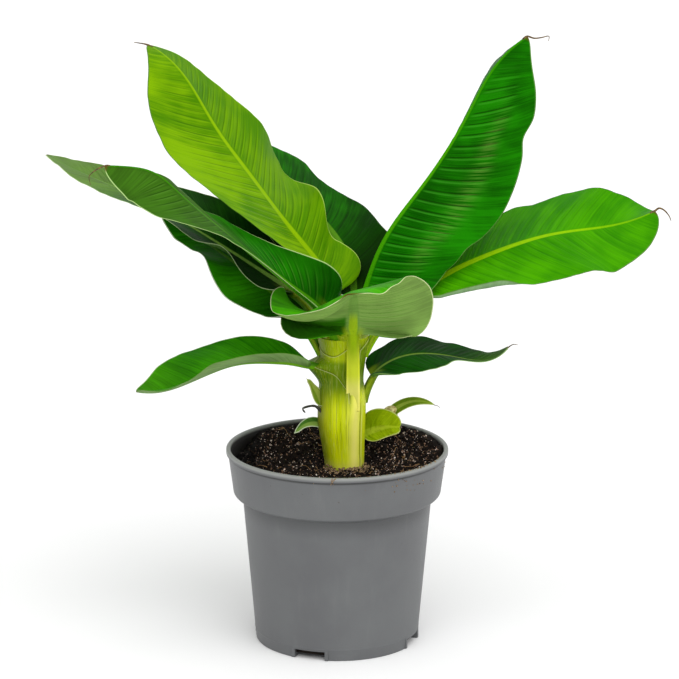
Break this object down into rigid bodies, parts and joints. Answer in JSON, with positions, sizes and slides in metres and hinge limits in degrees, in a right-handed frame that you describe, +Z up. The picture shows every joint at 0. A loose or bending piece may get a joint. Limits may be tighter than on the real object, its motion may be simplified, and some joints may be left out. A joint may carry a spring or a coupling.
{
  "type": "potted banana plant",
  "caption": "Young banana plant with broad arching leaves on a short yellow-green pseudostem, in a round grey nursery pot of dark soil.",
  "frame": {"origin": "centre of the pot's flat underside", "axes": "+Z up along the pot's axis, +X to the side of the broad single leaf, -Y to the front"},
  "size_m": [0.5253, 0.2849, 0.521],
  "materials": {
    "pot_plastic": "matte",
    "potting_soil": "crumbly",
    "stem_tissue": "smooth",
    "leaf_tissue": "satin",
    "dry_leaf": "matte"
  },
  "bodies": {
    "root": {"pot": "pot_plastic", "soil": "potting_soil", "pseudostem": "stem_tissue", "leaf_tall_left": "leaf_tissue", "leaf_tall_right": "leaf_tissue", "leaf_right": "leaf_tissue", "leaf_back": "leaf_tissue", "leaf_left_front": "leaf_tissue", "leaf_left_back": "leaf_tissue", "leaf_front": "leaf_tissue", "leaf_left_low": "leaf_tissue", "leaf_lower_left": "leaf_tissue", "leaf_lower_right": "leaf_tissue", "leaf_small_right": "leaf_tissue", "leaf_small_pointed": "leaf_tissue", "leaf_small_left": "leaf_tissue", "sheath_tip": "leaf_tissue", "dry_curl": "dry_leaf"}
  },
  "joints": []
}
